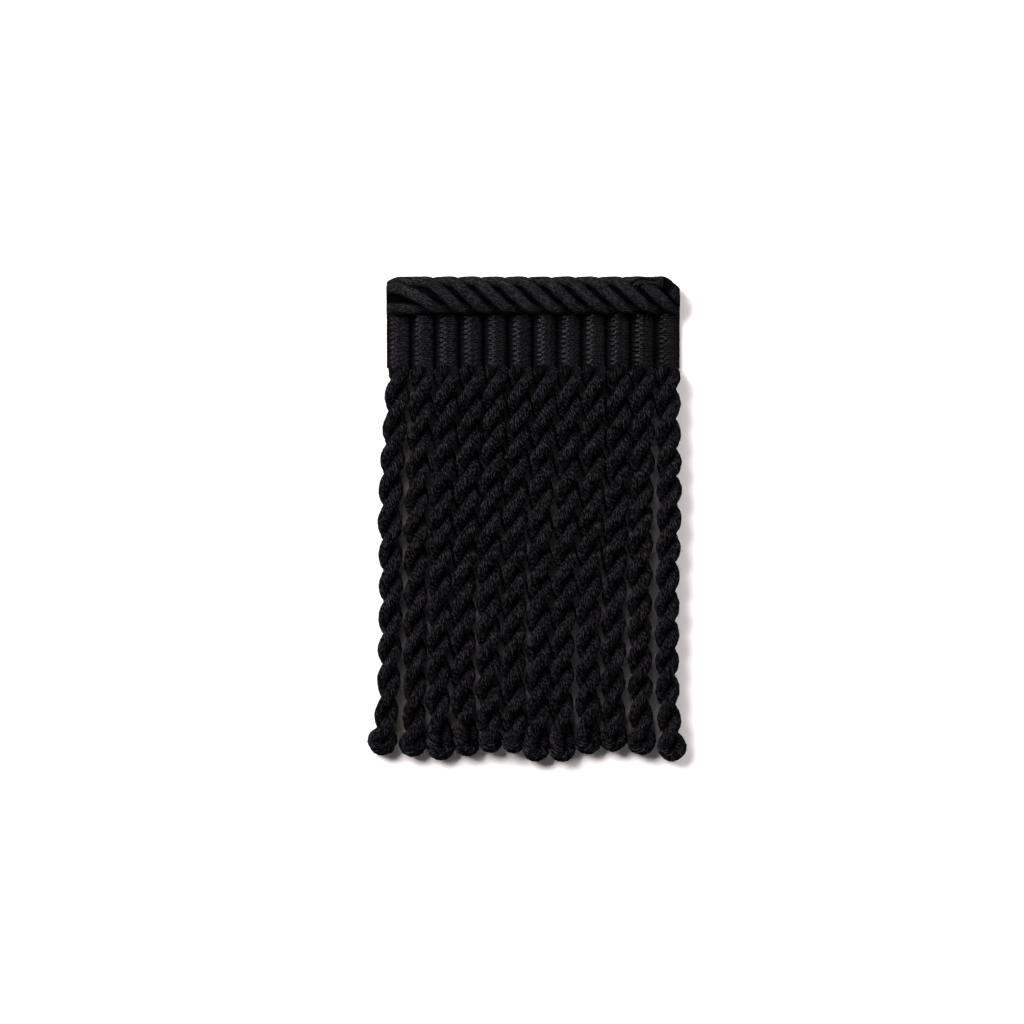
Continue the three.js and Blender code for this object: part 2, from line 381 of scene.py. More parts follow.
def wound_yarn_tree(name, normal_mode):
    """Winds yarns side by side round drawn lines, with grooves between them and loose fibres on top."""
    tree = bpy.data.node_groups.new(name, "GeometryNodeTree")
    tree.interface.new_socket("Line", in_out="INPUT", socket_type="NodeSocketGeometry")
    for socket_name, kind in WOUND_INPUTS.items():
        tree.interface.new_socket(socket_name, in_out="INPUT", socket_type=kind)
    tree.interface.new_socket("Yarns wound", in_out="OUTPUT", socket_type="NodeSocketGeometry")
    nodes = Nodes(tree)
    given = nodes.add("NodeGroupInput")
    size = given.other

    def store(geometry, attribute, value, kind="FLOAT"):
        return nodes.add(
            "GeometryNodeStoreNamedAttribute",
            {"data_type": kind, "domain": "POINT"},
            {"Geometry": geometry, "Name": attribute, "Value": value},
        )

    def random(low, high, picked_by, seed):
        return nodes.add(
            "FunctionNodeRandomValue",
            {"data_type": "FLOAT"},
            {"Min_001": low, "Max_001": high, "ID": picked_by, "Seed": seed},
            out="Value_001",
        )

    def vector(x, y, z):
        return nodes.add("ShaderNodeCombineXYZ", None, {0: x, 1: y, 2: z})

    def product(first, second):
        return nodes.add("ShaderNodeVectorMath", {"operation": "MULTIPLY"}, {0: first, 1: second})

    def scaled(first, share):
        return nodes.add("ShaderNodeVectorMath", {"operation": "SCALE"}, {0: first, "Scale": share})

    def dot(first, second):
        sides = {0: first, 1: second}
        return nodes.add("ShaderNodeVectorMath", {"operation": "DOT_PRODUCT"}, sides, out="Value")

    def given_on_line(attribute, kind):
        return nodes.add("GeometryNodeInputNamedAttribute", {"data_type": kind}, {"Name": attribute})

    # The line, turned along its length
    line = nodes.add("GeometryNodeMeshToCurve", None, {"Mesh": size("Line")})
    line = nodes.add("GeometryNodeSetCurveNormal", {"mode": normal_mode}, {"Curve": line})
    along = nodes.add("GeometryNodeSplineParameter", out="Length")
    line = store(line, "along", along)
    line = nodes.add(
        "GeometryNodeSetCurveTilt", None, {"Curve": line, "Tilt": along * size("Twist per metre")}
    )

    # One ring of yarns, each raised in the middle
    ring_points = size("Yarns") * size("Points per yarn")
    ring = nodes.add(
        "GeometryNodeCurvePrimitiveCircle", {"mode": "RADIUS"}, {"Resolution": ring_points, "Radius": 1.0}
    )
    index = nodes.add("GeometryNodeInputIndex")
    place_in_yarn = (index % size("Points per yarn")) / size("Points per yarn")
    crest = (place_in_yarn * math.pi).sine()
    yarn = (index / size("Points per yarn")).floor()
    yarn_size = random(-1.0, 1.0, yarn, size("Seed"))
    reach = 1.0 - size("Groove depth") * (1.0 - crest) + yarn_size * size("Yarn spread") * crest
    reach = reach * size("Radius")
    ring = store(ring, "crest", crest)
    ring = store(ring, "tone", random(0.0, 1.0, yarn, size("Seed") + 1))
    angle = index * (2 * math.pi) / ring_points
    ring = store(ring, "round_x", angle.cosine())
    ring = store(ring, "round_y", angle.sine())
    ring_place = nodes.add("GeometryNodeInputPosition")
    ring = nodes.add(
        "GeometryNodeSetPosition",
        None,
        {"Geometry": ring, "Position": product(ring_place, vector(reach, reach * size("Flatness"), 1.0))},
    )

    girth = given_on_line("girth", "FLOAT")
    wound = nodes.add(
        "GeometryNodeCurveToMesh",
        None,
        {"Curve": line, "Profile Curve": ring, "Scale": girth, "Fill Caps": True},
    )
    wound = nodes.add("GeometryNodeSetShadeSmooth", {"domain": "FACE"}, {"Geometry": wound})

    # Flat side where a ply meets the other ply of its twist
    press = given_on_line("press", "FLOAT_VECTOR")
    place = nodes.add("GeometryNodeInputPosition")
    core = given_on_line("core", "FLOAT_VECTOR")
    from_core = nodes.add("ShaderNodeVectorMath", {"operation": "SUBTRACT"}, {0: place, 1: core})
    clear = dot(from_core, press)
    drawn = clear - (PRESS_REACH - clear).at_least(0.0) * PRESS_STRETCH
    wound = nodes.add(
        "GeometryNodeSetPosition",
        None,
        {"Geometry": wound, "Offset": scaled(press, drawn.at_least(PRESS_GAP) - clear)},
    )

    # How far each side stands out of the twist, kept for painted shade that darkens the hollows between
    # plies: none in the hollows and all of it on a line with no twist
    facing = given_on_line("facing", "FLOAT_VECTOR")
    stands_out = dot(from_core, facing)
    twisted = dot(facing, facing)
    in_painted_shade = nodes.add(
        "ShaderNodeMapRange",
        {"interpolation_type": "SMOOTHSTEP"},
        {
            "Value": stands_out,
            "From Min": HOLLOW_REACH,
            "From Max": UNSHADED_REACH,
            "To Min": 1.0,
            "To Max": 0.0,
        },
    )
    wound = store(wound, "exposed", 1.0 - in_painted_shade * twisted)

    # Lumps along the yarn
    place = nodes.add("GeometryNodeInputPosition")
    lump = nodes.add(
        "ShaderNodeTexNoise",
        {"noise_dimensions": "4D"},
        {"Vector": place, "W": size("Seed") * LUMP_SHIFT, "Scale": LUMP_SCALE, "Detail": LUMP_DETAIL},
        out="Fac",
    )
    outward = nodes.add("GeometryNodeInputNormal")
    wound = nodes.add(
        "GeometryNodeSetPosition",
        None,
        {"Geometry": wound, "Offset": scaled(outward, (lump - 0.5) * size("Unevenness"))},
    )

    # Loose fibres
    fibre_line = nodes.add(
        "GeometryNodeCurveQuadraticBezier",
        None,
        {"Resolution": FIBRE_STEPS, "Start": FIBRE_ROOT, "Middle": FIBRE_BEND, "End": FIBRE_TIP},
    )
    fibre_ring = nodes.add(
        "GeometryNodeCurvePrimitiveCircle",
        {"mode": "RADIUS"},
        {"Resolution": FIBRE_SIDES, "Radius": size("Fibre radius") / size("Fibre length")},
    )
    fibre = nodes.add(
        "GeometryNodeCurveToMesh",
        None,
        {"Curve": fibre_line, "Profile Curve": fibre_ring, "Scale": 1.0, "Fill Caps": True},
    )
    fibre = store(fibre, "crest", 1.0)
    fibre = store(fibre, "tone", FIBRE_TONE)
    fibre = store(fibre, "shade", FIBRE_SHADE)
    fibre = store(fibre, "exposed", 1.0)
    frayed = 1.0 + FRAY * (given_on_line("shade", "FLOAT") - FRAY_SHADE).at_least(0.0)
    spots = nodes.add(
        "GeometryNodeDistributePointsOnFaces",
        {"distribute_method": "RANDOM"},
        {"Mesh": wound, "Density": size("Fibres per square metre") * frayed, "Seed": size("Seed")},
        out="Points",
    )
    spot = nodes.add("GeometryNodeInputIndex")
    upright = nodes.add(
        "FunctionNodeAlignRotationToVector", {"axis": "Z"}, {"Vector": spots.other("Normal")}
    )
    swing = nodes.add(
        "FunctionNodeAxisAngleToRotation",
        None,
        {"Axis": (0.0, 0.0, 1.0), "Angle": random(0.0, 2 * math.pi, spot, size("Seed") + 2)},
    )
    lie = nodes.add(
        "FunctionNodeRotateRotation", {"rotation_space": "LOCAL"}, {"Rotation": upright, "Rotate By": swing}
    )
    fibre_scale = size("Fibre length") * random(FIBRE_LEAST, FIBRE_MOST, spot, size("Seed") + 3)
    fibres = nodes.add(
        "GeometryNodeInstanceOnPoints",
        None,
        {"Points": spots, "Instance": fibre, "Rotation": lie, "Scale": fibre_scale},
    )

    whole = nodes.add("GeometryNodeJoinGeometry", None, {"Geometry": [wound, fibres]})
    whole = nodes.add("GeometryNodeRealizeInstances", None, {"Geometry": whole})
    at = nodes.add("GeometryNodeInputPosition")
    parts = nodes.add("ShaderNodeSeparateXYZ", None, {0: at})
    level = (parts.other("Z") * size("Height share")).at_least(0.0)
    whole = nodes.add(
        "GeometryNodeSetPosition",
        None,
        {"Geometry": whole, "Position": vector(parts.other("X"), parts.other("Y"), level)},
    )
    whole = nodes.add(
        "GeometryNodeSetMaterial", None, {"Geometry": whole, "Material": size("Yarn finish")}
    )
    nodes.add("NodeGroupOutput", None, {0: whole})
    return tree


def plain_line(places, girth, shade):
    """A line of yarn that is not pressed, as named columns with one row for each point.

    Its girth and shade are columns too, or one number for the whole line.
    """
    column = np.zeros(len(places))
    nowhere = np.zeros_like(places)
    return {
        "place": places,
        "girth": column + girth,
        "shade": column + shade,
        "core": nowhere,
        "press": nowhere,
        "facing": nowhere,
    }


def shaded_black_line(places, girth):
    """A line of yarn with no paleness, all of it painted in the dark colour of shade in a deep hollow."""
    line = plain_line(places, girth, 0.0)
    line["facing"] = np.tile([0.0, 0.0, 1.0], (len(places), 1))
    line["core"] = places + FULL_SHADE_COVER * line["facing"]
    return line


def line_mesh(name, lines):
    """A mesh of open lines, with the columns of each line as attributes of its points."""
    columns = {key: np.concatenate([line[key] for line in lines]) for key in lines[0]}
    edges = []
    start = 0
    for line in lines:
        count = len(line["place"])
        edges += [(i, i + 1) for i in range(start, start + count - 1)]
        start += count
    mesh = bpy.data.meshes.new(name)
    mesh.from_pydata(columns.pop("place").tolist(), edges, [])
    for key, values in columns.items():
        if values.ndim == 1:
            mesh.attributes.new(key, "FLOAT", "POINT").data.foreach_set("value", values.astype(np.float32))
        else:
            flat = values.astype(np.float32).ravel()
            mesh.attributes.new(key, "FLOAT_VECTOR", "POINT").data.foreach_set("vector", flat)
    return mesh


def wind(name, tree, lines, sizes):
    """A piece named name: yarns wound round the lines by the tree, as a plain mesh."""
    carrier = bpy.data.objects.new(name + "_line", line_mesh(name + "_line", lines))
    bpy.context.scene.collection.objects.link(carrier)
    modifier = carrier.modifiers.new("yarn", "NODES")
    modifier.node_group = tree
    for item in tree.interface.items_tree:
        if item.in_out == "INPUT" and item.name in sizes:
            modifier[item.identifier] = sizes[item.name]
    evaluated = carrier.evaluated_get(bpy.context.evaluated_depsgraph_get())
    mesh = bpy.data.meshes.new_from_object(evaluated)
    carrier.modifiers.remove(modifier)
    bpy.data.objects.remove(carrier)
    mesh.name = name
    piece = bpy.data.objects.new(name, mesh)
    bpy.context.scene.collection.objects.link(piece)
    return piece


def evenly_spaced(line, spacing):
    """The same line with its points at an even distance."""
    steps = np.linalg.norm(np.diff(line["place"], axis=0), axis=1)
    reached = np.concatenate([[0.0], np.cumsum(steps)])
    count = int(round(reached[-1] / spacing)) + 1
    wanted = np.linspace(0.0, reached[-1], count)

    def resample(values):
        if values.ndim == 1:
            return np.interp(wanted, reached, values)
        return np.stack([np.interp(wanted, reached, values[:, axis]) for axis in range(3)], axis=1)

    return {key: resample(values) for key, values in line.items()}


def smooth_step(values, start, end):
    share = np.clip((values - start) / (end - start), 0.0, 1.0)
    return share**2 * (3 - 2 * share)


def smooth_through(knots, values, wanted):
    """Values at the wanted places, on a smooth curve through the knots."""
    knots = np.asarray(knots, float)
    values = np.asarray(values, float)
    slopes = np.zeros(len(knots))
    slopes[1:-1] = (values[2:] - values[:-2]) / (knots[2:] - knots[:-2])
    slopes[-1] = (values[-1] - values[-2]) / (knots[-1] - knots[-2])
    span = np.clip(np.searchsorted(knots, wanted, side="right") - 1, 0, len(knots) - 2)
    width = knots[span + 1] - knots[span]
    share = np.clip((wanted - knots[span]) / width, 0.0, 1.0)
    return (
        values[span] * (1 + 2 * share) * (1 - share) ** 2
        + slopes[span] * width * share * (1 - share) ** 2
        + values[span + 1] * share**2 * (3 - 2 * share)
        + slopes[span + 1] * width * share**2 * (share - 1)
    )


def eased(share, start_slope, end_slope):
    """A rise from 0 to 1 with the given slopes at its ends."""
    return (
        share**2 * (3 - 2 * share)
        + start_slope * share * (1 - share) ** 2
        + end_slope * share**2 * (share - 1)
    )


def bullion_line(rib, row):
    """One bullion's cord: down from the heading's top, twisted, round the loop and up to the top again."""
    loop_radius = row.loop_radius * MM
    root = ((rib + 0.5) * RIB_PITCH - HEADING_LENGTH / 2) / MM
    loop_reach = loop_radius + PLY_RADIUS * LOOP_GIRTH * FOOT_FULLNESS
    first_crossing = row.first_crossing * MM
    last_crossing = first_crossing + row.half_turns * row.half_turn * MM
    loop_depth = row.drop * MM - loop_reach
    twist_rate = math.pi / (row.half_turn * MM)
    quarter = math.pi / 2

    # The even twist, then the foot, where the plies open into the loop
    twist_depth = np.linspace(ROOT_TOP, last_crossing, TWIST_POINTS, endpoint=False)
    twist_turn = quarter + twist_rate * (twist_depth - first_crossing)
    share = np.linspace(0.0, 1.0, FOOT_POINTS)
    foot_length = loop_depth - last_crossing
    foot_turn_total = quarter + math.radians(row.loop_turn)
    foot_depth = last_crossing + foot_length * share
    foot_turn = quarter + math.pi * row.half_turns
    foot_turn = foot_turn + foot_turn_total * eased(share, twist_rate * foot_length / foot_turn_total, 0.0)

    depth = np.concatenate([twist_depth, foot_depth])
    turn = np.concatenate([twist_turn, foot_turn])
    opened = smooth_step(depth, last_crossing, loop_depth)
    hanging = smooth_step(depth, HEADING_GIRTH_DEPTH, FULL_GIRTH_DEPTH)
    full = row.fullness * np.interp(depth, [0.0, FOOT_DEPTH], [TOP_FULLNESS, FOOT_FULLNESS])
    girth = full * (1.0 + (LOOP_GIRTH - 1.0) * opened) * (HEADING_GIRTH + (1.0 - HEADING_GIRTH) * hanging)

    # Small unevenness of the twist, none at its two ends
    phases = np.random.default_rng(rib + 1).uniform(0.0, 2 * math.pi, 3)
    inside = smooth_step(depth, 0.0, EVEN_END_LENGTH)
    inside *= 1 - smooth_step(depth, last_crossing - EVEN_END_LENGTH, last_crossing)
    wander = np.sin(depth / WOBBLE_LENGTH + phases[0])
    wander = wander + np.sin(SECOND_WOBBLE_RATE * depth / WOBBLE_LENGTH + phases[1])
    turn = turn + TURN_WOBBLE * inside * wander
    swell = np.sin(SPREAD_WOBBLE_RATE * depth / WOBBLE_LENGTH + phases[2])
    spread = TWIST_RADIUS * full * (1 + SPREAD_WOBBLE * inside * swell)
    spread = spread + (loop_radius - TWIST_RADIUS * full) * opened

    rise = (TWIST_RADIUS + PLY_RADIUS) * full
    rise = np.where(depth > last_crossing, spread * np.abs(np.sin(turn)) + PLY_RADIUS * girth, rise)
    sway = MM * smooth_through(
        (ROOT_TOP / MM, 0.0, UPPER_DEPTH, MIDDLE_DEPTH, LOWER_DEPTH, loop_depth / MM),
        (root, root, row.upper, row.middle, row.lower, row.loop),
        depth / MM,
    )
    y = -HEADING_HEIGHT / 2 - depth

    def ply(offset, place_in_rib):
        angle = turn + offset
        twisted = np.stack([sway + spread * np.cos(angle), y, rise + spread * np.sin(angle)], axis=1)
        in_heading = np.stack([sway + place_in_rib, y, np.full(len(y), HEADING_RISE)], axis=1)
        return in_heading + (twisted - in_heading) * hanging[:, None]

    down = ply(0.0, RIGHT_CORD_OFFSET)
    up = ply(math.pi, -LEFT_CORD_OFFSET)
    core = (down + up) / 2
    apart = (down - up) / np.linalg.norm(down - up, axis=1)[:, None]
    pressed = apart * (1 - smooth_step(depth, loop_depth - LOOP_FREE_LENGTH, loop_depth))[:, None]
    # Facing of each ply, for painted shade in the hollow between the two plies of the twist and round the
    # loop's eye
    in_twist = apart * hanging[:, None]

    loop_side = np.array([math.cos(turn[-1]), 0.0, math.sin(turn[-1])])
    loop_angle = np.linspace(0.0, math.pi, LOOP_POINTS)[1:-1, None]
    from_eye = np.cos(loop_angle) * loop_side + np.sin(loop_angle) * np.array([0.0, -1.0, 0.0])
    round_loop = core[-1] + loop_radius * from_eye
    free = np.zeros_like(round_loop)
    # Painted shade for the first millimetres below the heading and painted light on the loop
    shade = TOP_SHADE + (PLAIN_SHADE - TOP_SHADE) * smooth_step(depth, 0.0, TOP_SHADE_DEPTH)
    shade = shade + (LOOP_SHADE - PLAIN_SHADE) * opened
    line = {
        "place": np.concatenate([down, round_loop, up[::-1]]),
        "girth": np.concatenate([girth, np.full(len(round_loop), girth[-1]), girth[::-1]]),
        "core": np.concatenate([core, np.tile(core[-1], (len(round_loop), 1)), core[::-1]]),
        "press": np.concatenate([pressed, free, -pressed[::-1]]),
        "facing": np.concatenate([in_twist, from_eye, -in_twist[::-1]]),
        "shade": np.concatenate([shade, np.full(len(round_loop), LOOP_SHADE), shade[::-1]]),
    }
    return evenly_spaced(line, RING_SPACING)


def cord_twist(station):
    """Twist reached at a station of the edge cord, slack towards the left end."""
    missing = np.maximum(SLACK_STATIONS - station, 0.0)
    slack = (1 - SLACK_TWIST) * missing**2 / (2 * SLACK_STATIONS)
    return 2 * math.pi / STATIONS_PER_TURN * (station - VALLEY_STATION + slack)


def edge_cord_lines():
    """The four plies of the edge cord and its core, as round as a rope before its height is pressed."""
    last_station = CORD_STATIONS + CORD_OVERRUN_STATIONS
    station = np.linspace(-CORD_OVERRUN_STATIONS, last_station, CORD_POINTS)
    x = HEADING_LENGTH * (station / CORD_STATIONS - 0.5)
    sizes = np.array(CORD_END_SIZES)
    size = np.interp(station, sizes[:, 0], sizes[:, 1])
    half = CORD_HEIGHT / 2
    shade = PLAIN_SHADE + (CORD_END_SHADE - PLAIN_SHADE) * (1 - smooth_step(station, 0.0, SLACK_STATIONS))
    lines = []
    for ply in range(CORD_PLIES):
        angle = math.pi / 2 + cord_twist(station) + (ply + 0.5) * 2 * math.pi / CORD_PLIES
        corner = np.abs(np.cos(angle)) ** CORD_SQUARENESS + np.abs(np.sin(angle)) ** CORD_SQUARENESS
        reach = (half - CORD_PLY_RADIUS) / corner ** (1 / CORD_SQUARENESS)
        y = CORD_FOOT + size * (half + reach * np.cos(angle))
        z = size * (half + reach * np.sin(angle))
        # Painted shade of the hollow cut end on the upper side of the plies near the right end
        end_hollow_shade = smooth_step(station, *TIED_STATIONS) * smooth_step(np.cos(angle), *UPPER_SIDE)
        line = plain_line(np.stack([x, y, z], axis=1), size, shade * (1 - end_hollow_shade))
        # Painted shade on the sides of each ply that turn into the grooves and under the cord
        facing = np.stack([np.zeros(len(x)), CORD_LEAN * np.cos(angle), CORD_LIFT + np.sin(angle)], axis=1)
        line["facing"] = facing / np.linalg.norm(facing, axis=1)[:, None]
        line["core"] = line["place"] + CORD_HOLLOW * line["facing"]
        lines.append(evenly_spaced(line, RING_SPACING))
    # Core of the cord, painted black in the hollow shade colour so that the grooves between the plies look
    # dark
    middle = np.stack([x, CORD_FOOT + size * half, size * half], axis=1)
    core = shaded_black_line(middle, size * CORD_CORE_GIRTH)
    lines.append(evenly_spaced(core, CORE_RING_SPACING))
    return lines + tie_lines()


def tie_lines():
    """Thin yarns along the cord's top edge, a yarn wrapped round them and the ply end under them, painted
    black as shade in a hollow.
    """
    share = np.linspace(0.0, 1.0, TIE_POINTS)
    x = TIE_START + (TIE_END - TIE_START) * share
    climbed = smooth_step(share, 0.0, TIE_CLIMB)
    y = TIE_LOW + (TIE_HIGH - TIE_LOW) * climbed
    z = TIE_LOW_RISE + (TIE_RISE - TIE_LOW_RISE) * climbed
    spread = TIE_SPREAD * (1 + TIE_FLARE * (1 - share))
    lines = []
    for yarn in range(TIE_YARNS):
        angle = 2 * math.pi * yarn / TIE_YARNS + share
        places = np.stack([x, y + spread * np.cos(angle), z + TIE_SPREAD * np.sin(angle)], axis=1)
        lines.append(plain_line(places, TIE_GIRTH, TIE_SHADE))

    turn = np.linspace(0.0, 2 * math.pi * WRAP_TURNS, WRAP_POINTS)
    x = TIE_END - WRAP_LENGTH * (1 - turn / turn[-1])
    y = WRAP_MIDDLE + WRAP_REACH * np.cos(turn)
    z = WRAP_LEVEL + WRAP_RISE * np.sin(turn)
    lines.append(plain_line(np.stack([x, y, z], axis=1), WRAP_GIRTH, TIE_SHADE))

    # Ply end under the tie, painted black in the hollow shade colour
    x = np.linspace(CUT_PLY_START, CUT_PLY_END, CUT_PLY_POINTS)
    y = CUT_PLY_MIDDLE - CUT_PLY_FALL * np.maximum(x - TIE_END, 0.0)
    z = np.interp(x, [CUT_PLY_START, CUT_PLY_END], CUT_PLY_RISE)
    lines.append(shaded_black_line(np.stack([x, y, z], axis=1), CUT_PLY_GIRTH))
    return [evenly_spaced(line, RING_SPACING) for line in lines]


def under_edge_cord(y):
    """Height left free below the edge cord at a place across the band."""
    half = CORD_HEIGHT / 2
    share = np.clip((CORD_FOOT + half - y) / half, 0.0, 1.0)
    return np.where(y > CORD_FOOT, CORD_RISE / 2 * (1 - np.sqrt(1 - share**2)) - CORD_CLEARANCE, 1.0)


def binding_lines():
    """The heading's binding yarns, each over one rib and under the next, the last ones under the cord."""
    shares = np.array(RIB_FACE)
    gap_rise = shares[0, 1]
    half_thick = BINDING_WIDTH * BINDING_FLATNESS
    steps = np.linspace(0.0, 1.0, BINDING_STEPS_PER_RIB, endpoint=False)
    lean = ZIGZAG_SHARE * np.sin(math.pi * steps) * np.exp(-(((steps - CREST_SHARE) / CREST_WIDTH) ** 2))
    ripple = WEAVE_RISE * np.sin(math.pi * steps) * np.sin(2 * math.pi * WEAVES_PER_RIB * steps)
    overs = [
        smooth_through(shares[:, 0], shares[:, 1], steps + side * lean) + side * ripple - half_thick
        for side in (1.0, -1.0)
    ]
    open_share = smooth_step(np.minimum(steps, 1 - steps), 0.0, RIB_SHARES_PINCHED)
    under = gap_rise - half_thick + (BINDING_BACK - gap_rise + half_thick) * open_share
    girth = BINDING_PINCH + (1 - BINDING_PINCH) * open_share
    row_pitch = HEADING_HEIGHT / BINDING_COUNT
    drift = np.random.default_rng(BINDING_COUNT)
    wear_and_light = np.array(RIB_WEAR_AND_LIGHT)
    lines = []
    for row in range(BINDING_COUNT + BINDINGS_UNDER_CORD):
        x_parts = []
        z_parts = []
        girth_parts = []
        for rib in range(RIB_COUNT):
            x_parts.append((rib + steps) * RIB_PITCH - HEADING_LENGTH / 2)
            z_parts.append(overs[(rib + row) // 2 % 2] if (rib + row) % 2 == 0 else under)
            girth_parts.append(girth)
        x = np.concatenate(x_parts + [[HEADING_LENGTH / 2]])
        z = np.concatenate(z_parts + [[gap_rise - half_thick]])
        girths = np.concatenate(girth_parts + [[BINDING_PINCH]])

        # Small unevenness from row to row and along each row
        phases = drift.uniform(0.0, 2 * math.pi, 3)
        y = -HEADING_TOP + (row + 0.5 + drift.uniform(-ROW_SHIFT, ROW_SHIFT)) * row_pitch
        y = y + BINDING_WANDER * np.sin(x / RIB_PITCH * SLOW_WANDER_RATE + phases[0])
        y = y + BINDING_WANDER * np.sin(x / RIB_PITCH * QUICK_WANDER_RATE + phases[1])
        swell = THICKNESS_WAVE * np.sin(x / RIB_PITCH * THICKNESS_WAVE_RATE + phases[2])
        girths = girths * (1 + swell + drift.uniform(-THICKNESS_SPREAD, THICKNESS_SPREAD))
        z = np.minimum(z, under_edge_cord(y))
        share = (x / RIB_PITCH) % 1.0
        rib_of_point = np.floor(x / RIB_PITCH + RIB_COUNT / 2).astype(int)
        side = 1.0 - 2.0 * ((rib_of_point + row) // 2 % 2)
        share = share + side * np.interp(share, steps, lean)
        # Paleness across the rib: real wear with a painted highlight on its high left side and painted
        # shade on its left flank
        left_shade = np.interp(share, wear_and_light[:, 0], wear_and_light[:, 1])
        right_shade = np.interp(share, wear_and_light[:, 0], wear_and_light[:, 2])
        shade = left_shade + (right_shade - left_shade) * (x / HEADING_LENGTH + 0.5)
        shade = shade * drift.uniform(*ROW_PALENESS)
        lines.append(plain_line(np.stack([x, y, z], axis=1), girths, shade))
    return lines


def cut_across(piece, x, outward):
    """Cuts a piece square across at x and closes the cut."""
    work = bmesh.new()
    work.from_mesh(piece.data)
    cut = bmesh.ops.bisect_plane(
        work,
        geom=list(work.verts) + list(work.edges) + list(work.faces),
        plane_co=(x, 0.0, 0.0),
        plane_no=(outward, 0.0, 0.0),
        clear_outer=True,
    )
    rim = [item for item in cut["geom_cut"] if isinstance(item, bmesh.types.BMEdge)]
    filled = bmesh.ops.holes_fill(work, edges=rim, sides=0)
    bmesh.ops.triangulate(work, faces=filled["faces"])
    work.to_mesh(piece.data)
    work.free()


# Dye of a yarn, darkened by painted shade: its tone, the least of it, the painted light that its raised
# middle adds, leaving painted shade in the grooves between yarns, and what the patches add
YARN_TONE = 0.6
LINE_TONE = 0.4
LEAST_DYE = 0.15
CREST_PAINTED_LIGHT = 0.5
PATCH_DYE = 0.8
# Streaks and specks of pale fibre and painted glints: how they are mixed, where they start to show, how
# much of them stays in the painted shade of the grooves and how deep they lie
STREAK_SHARE = 0.65
SPECK_SHARE = 0.35
PALE_AND_GLINT_STOPS = ((0.51, 0.0), (0.56, 1.0))
WARM_STOPS = ((0.42, 0.0), (0.58, 1.0))
GROOVE_GLINT_SHARE = 0.35
PALENESS_PER_SHADE = 1.0 / PLAIN_SHADE
STREAK_SHIFT = 50.0
STREAK_DEPTH = 0.3 * MM
SPECK_HEIGHT = 0.5
# Sizes of the marks, as cells a metre
PATCH_SCALE = 130.0
SPECK_SCALE = 1900.0
TINT_SCALE = 1300.0
DULLEST = 0.75
STREAK_GLOSS = 0.3
YARN_SHEEN = 0.012


def yarn_finish(name, hollow_shade_colour, dyed, pale_fibre_and_glint, warm_pale_fibre_and_glint, streak_width, streak_length, radius, warmth=0.0):
    """Dyed yarn: painted shade between the yarns and in the hollows, uneven dye, and short bright streaks
    along each yarn, partly pale fibre and partly painted glints.
    """
    material = bpy.data.materials.new(name)
    material.use_nodes = True
    material.node_tree.nodes.clear()
    nodes = Nodes(material.node_tree)

    def read(attribute):
        return nodes.add("ShaderNodeAttribute", {"attribute_name": attribute}, out="Fac")

    def mixed(share, first, second):
        return nodes.add(
            "ShaderNodeMix",
            {"data_type": "RGBA", "clamp_factor": True},
            {"Factor_Float": share, "A_Color": first, "B_Color": second},
            out="Result_Color",
        )

    def noise(place, scale, detail):
        return nodes.add(
            "ShaderNodeTexNoise", None, {"Vector": place, "Scale": scale, "Detail": detail}, out="Fac"
        )

    def ramp(value, stops):
        return nodes.add("ShaderNodeValToRGB", {"stops": stops}, {"Fac": value})

    crest = read("crest")
    tone = read("tone") * YARN_TONE + read("shade") * LINE_TONE
    yarn_place = nodes.add(
        "ShaderNodeCombineXYZ",
        None,
        {
            0: read("round_x") * (radius / streak_width),
            1: read("round_y") * (radius / streak_width),
            2: read("along") / streak_length + read("shade") * STREAK_SHIFT,
        },
    )
    streaks = noise(yarn_place, scale=1.0, detail=1.0)
    object_place = nodes.add("ShaderNodeTexCoord", out="Object")
    patches = noise(object_place, PATCH_SCALE, detail=2.0)
    specks = noise(object_place, SPECK_SCALE, detail=1.0)
    tints = ramp(noise(object_place, TINT_SCALE, detail=1.0), WARM_STOPS)
    along_band = nodes.add("ShaderNodeSeparateXYZ", None, {0: object_place}, out="X")
    exposed = read("exposed")

    # Painted shade: the grooves between yarns and the hollows between plies mix towards the hollow shade
    # colour, the raised middles get painted light
    dye_and_shade = LEAST_DYE + CREST_PAINTED_LIGHT * crest * (0.5 + 0.5 * tone) + (patches - 0.5) * PATCH_DYE
    base = mixed(dye_and_shade * exposed, hollow_shade_colour, dyed)
    # Pale fibre and painted glints in streaks and specks, fewer in the painted shade of grooves and hollows
    lit = ramp(streaks * STREAK_SHARE + specks * SPECK_SHARE, PALE_AND_GLINT_STOPS)
    pale = mixed(tints + along_band * warmth, pale_fibre_and_glint, warm_pale_fibre_and_glint)
    raised = GROOVE_GLINT_SHARE + (1.0 - GROOVE_GLINT_SHARE) * crest
    base = mixed(lit * exposed * raised * (PALENESS_PER_SHADE * read("shade")), base, pale)
    bump = nodes.add(
        "ShaderNodeBump",
        None,
        {"Strength": 1.0, "Distance": STREAK_DEPTH, "Height": streaks + specks * SPECK_HEIGHT},
    )
    shader = nodes.add(
        "ShaderNodeBsdfPrincipled",
        None,
        {
            "Base Color": base,
            "Roughness": DULLEST - STREAK_GLOSS * streaks,
            "Normal": bump,
            "Specular IOR Level": YARN_SHEEN,
        },
    )
    nodes.add("ShaderNodeOutputMaterial", None, {"Surface": shader})
    return material


